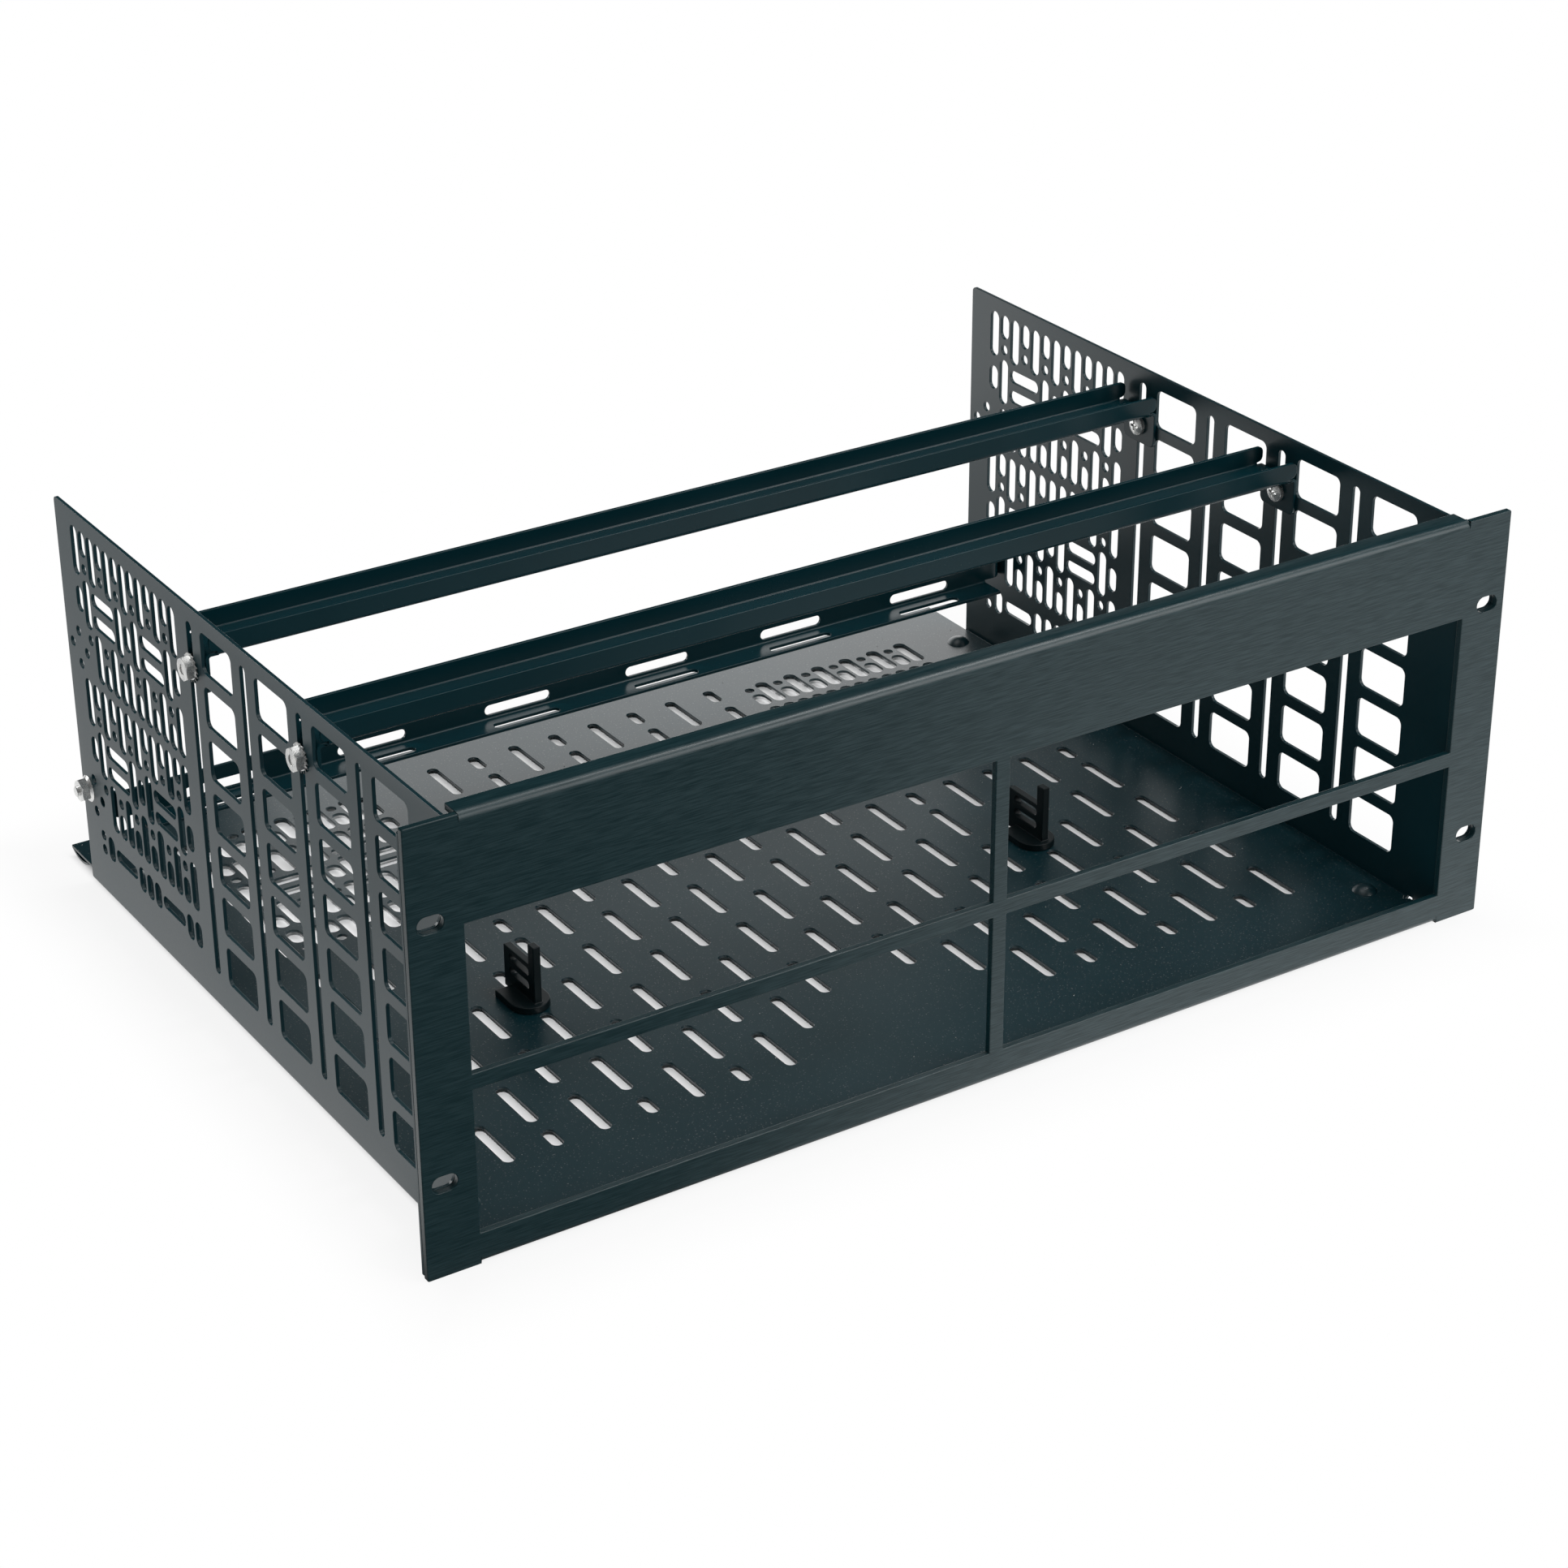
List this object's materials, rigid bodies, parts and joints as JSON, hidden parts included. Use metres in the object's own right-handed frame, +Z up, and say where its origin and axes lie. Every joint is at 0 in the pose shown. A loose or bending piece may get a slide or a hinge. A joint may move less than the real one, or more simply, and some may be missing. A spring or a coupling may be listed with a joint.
{
  "type": "rack mount shelf",
  "caption": "Black vented rack shelf with a windowed brushed faceplate, slotted tray, punched side panels, top tie bars, a rear lacing bar and plastic stop clips.",
  "frame": {"origin": "centre of the four rack slots, on the back face of the ears that meets the rack rail", "axes": "+X to the right seen from the front, +Y from the faceplate to the back, +Z up"},
  "size_m": [0.4826, 0.3611, 0.177],
  "materials": {
    "black_anodised": "black anodised with fine horizontal brushing",
    "black_paint": "semi-gloss black powder coat on sheet steel",
    "black_plastic": "moulded black plastic",
    "zinc": "bright zinc plated steel"
  },
  "bodies": {
    "root": {"faceplate": "black_anodised", "tray": "black_paint", "left_side_panel": "black_paint", "right_side_panel": "black_paint", "front_tie_bar": "black_paint", "rear_tie_bar": "black_paint", "lacing_bar": "black_paint", "left_stop_clip": "black_plastic", "right_stop_clip": "black_plastic", "front_bar_screws": "zinc", "front_bar_washers": "zinc", "front_bar_nuts": "zinc", "rear_bar_screws": "zinc", "rear_bar_washers": "zinc", "rear_bar_nuts": "zinc", "lacing_bar_bolts": "zinc", "lacing_bar_washers": "zinc", "lacing_bar_nuts": "zinc", "tray_rivets": "black_paint", "faceplate_rivets": "black_paint"}
  },
  "joints": []
}
